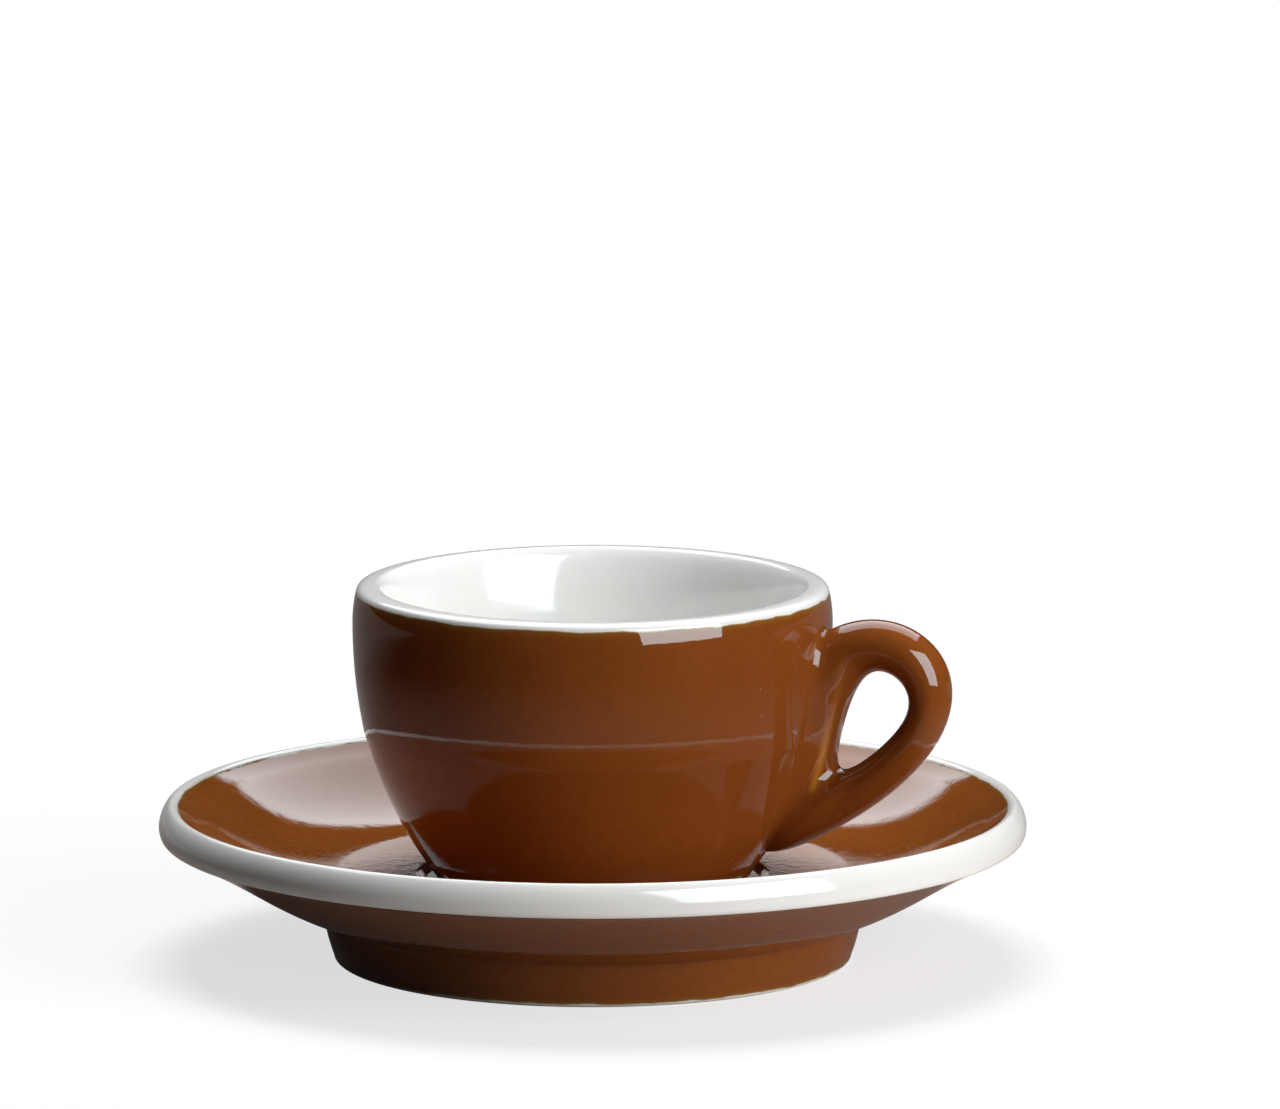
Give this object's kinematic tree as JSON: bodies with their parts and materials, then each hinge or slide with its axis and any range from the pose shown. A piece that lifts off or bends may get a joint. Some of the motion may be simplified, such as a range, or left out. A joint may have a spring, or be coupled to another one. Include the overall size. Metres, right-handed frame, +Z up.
{
  "type": "espresso cup with saucer",
  "caption": "Small thick-walled espresso cup with an ear handle, standing in the well of a round footed saucer; brown glaze with a white lip, inside and saucer rim.",
  "frame": {"origin": "middle of the saucer's foot ring, on the table", "axes": "+Z up along the axis of the cup and saucer, +X from the axis towards the cup's handle, +Y to the left of the handle seen from above"},
  "size_m": [0.12, 0.12, 0.0524],
  "materials": {
    "white_glaze": "glossy clear glaze over white porcelain",
    "brown_glaze": "glossy chestnut brown glaze"
  },
  "bodies": {
    "saucer": {"saucer_body": "white_glaze", "saucer_dish_glaze": "brown_glaze", "saucer_underside_glaze": "brown_glaze", "saucer_recess_glaze": "brown_glaze"},
    "cup": {"cup_body": "white_glaze", "cup_wall_glaze": "brown_glaze", "cup_recess_glaze": "brown_glaze", "handle": "brown_glaze"}
  },
  "joints": [
    {"name": "cup_lift", "type": "slide", "parent": "saucer", "child": "cup", "axis": [0, 0, 1], "range_m": [0, 0.06]}
  ]
}
